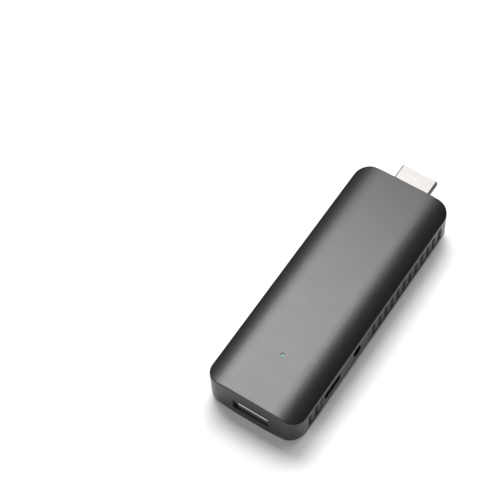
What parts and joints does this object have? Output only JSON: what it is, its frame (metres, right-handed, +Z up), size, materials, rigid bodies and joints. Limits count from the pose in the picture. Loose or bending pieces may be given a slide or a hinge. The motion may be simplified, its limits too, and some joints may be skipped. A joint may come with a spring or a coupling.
{
  "type": "streaming media player",
  "caption": "Slim dark streaming stick with an HDMI plug at one end, a USB socket at the other, a side power inlet, a reset button, vented sides and a circuit board inside.",
  "frame": {"origin": "centre of the footprint of housing and plug together, on the surface the stick lies on", "axes": "+Y towards the HDMI plug, +X the side with the power inlet and reset button, +Z up"},
  "size_m": [0.0362, 0.108, 0.016],
  "materials": {
    "housing_plastic": "fine satin grain",
    "grille_plastic": "matt",
    "button_plastic": "matt",
    "light_pipe_plastic": "clear, lit teal",
    "screw_steel": "black zinc",
    "circuit_board": "solder mask",
    "chip_epoxy": "moulded epoxy",
    "inductor_ferrite": "matt ferrite",
    "bulk_capacitor": "moulded epoxy",
    "chip_ceramic": "ceramic with tinned ends",
    "chip_resistor": "ceramic with tinned ends",
    "plated_steel": "tin plated",
    "plug_plating": "satin nickel plating",
    "contact_gold": "gold plated",
    "thermal_silicone": "soft, matt",
    "sink_aluminium": "extruded",
    "status_light": "lit",
    "black_insulator": "moulded",
    "white_insulator": "moulded"
  },
  "bodies": {
    "stick": {"board_screws": "screw_steel", "bottom_cover": "housing_plastic", "bulk_capacitors": "bulk_capacitor", "chip_capacitors": "chip_ceramic", "chip_resistors": "chip_resistor", "flash_chip": "chip_epoxy", "hdmi_plug_contacts": "contact_gold", "hdmi_plug_insulator": "black_insulator", "hdmi_plug_shell": "plug_plating", "hdmi_protection_chips": "chip_epoxy", "heat_sink": "sink_aluminium", "inlet_diode": "chip_epoxy", "left_grille": "grille_plastic", "light_pipe": "light_pipe_plastic", "lower_shield_can": "plated_steel", "main_board": "circuit_board", "memory_chip_first": "chip_epoxy", "memory_chip_second": "chip_epoxy", "port_panel": "grille_plastic", "power_chip": "chip_epoxy", "power_inductors": "inductor_ferrite", "power_inlet_contacts": "contact_gold", "power_inlet_insulator": "black_insulator", "power_inlet_shell": "plated_steel", "processor": "chip_epoxy", "radio_board": "circuit_board", "radio_chip": "chip_epoxy", "radio_shield_can": "plated_steel", "reset_switch_body": "black_insulator", "reset_switch_cover": "plated_steel", "right_grille_long": "grille_plastic", "right_grille_short": "grille_plastic", "status_led": "status_light", "system_crystal": "plated_steel", "thermal_pads": "thermal_silicone", "upper_housing": "housing_plastic", "usb_power_switch": "chip_epoxy", "usb_socket_contacts": "contact_gold", "usb_socket_insulator": "white_insulator", "usb_socket_shell": "plated_steel", "wifi_aerial_first": "plated_steel", "wifi_aerial_second": "plated_steel"},
    "reset_button": {"reset_button": "button_plastic", "reset_switch_plunger": "button_plastic"}
  },
  "joints": [
    {"name": "reset_press", "type": "slide", "parent": "stick", "child": "reset_button", "axis": [-1, 0, 0], "range_m": [0, 0.00025], "stiffness_N_per_m": 4000}
  ]
}
